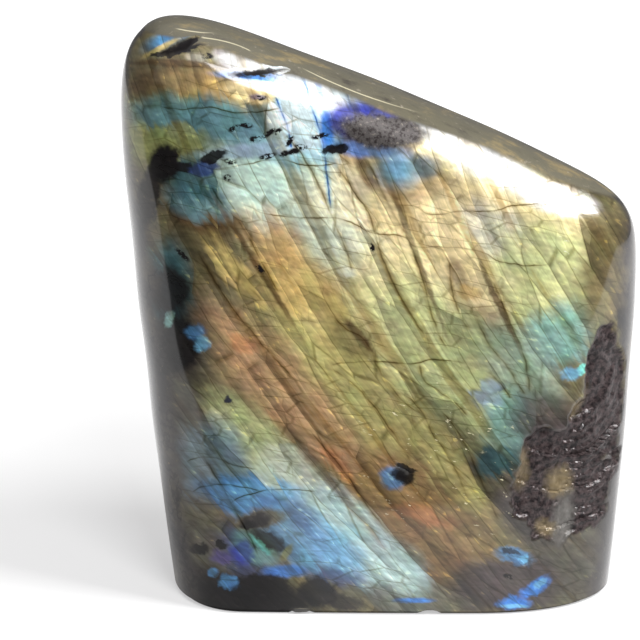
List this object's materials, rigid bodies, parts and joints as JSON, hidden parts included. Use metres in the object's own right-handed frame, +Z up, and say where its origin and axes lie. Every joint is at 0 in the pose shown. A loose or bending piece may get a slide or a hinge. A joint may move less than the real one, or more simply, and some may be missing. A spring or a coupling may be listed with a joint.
{
  "type": "polished labradorite freeform",
  "caption": "Standing labradorite chunk: a tapering polished slab with a slanted top, rounded edges, a flat-cut base and a rough broken hollow low on its right side.",
  "frame": {"origin": "bottom centre of the stone, on the flat face that it stands on", "axes": "+Z up, -Y out of the broad front face that carries the colour, +X to the right seen from the front"},
  "size_m": [0.1018, 0.0424, 0.116],
  "materials": {
    "labradorite": "polished, with a coloured metallic flash under the surface"
  },
  "bodies": {
    "root": {"labradorite_stone": "labradorite"}
  },
  "joints": []
}
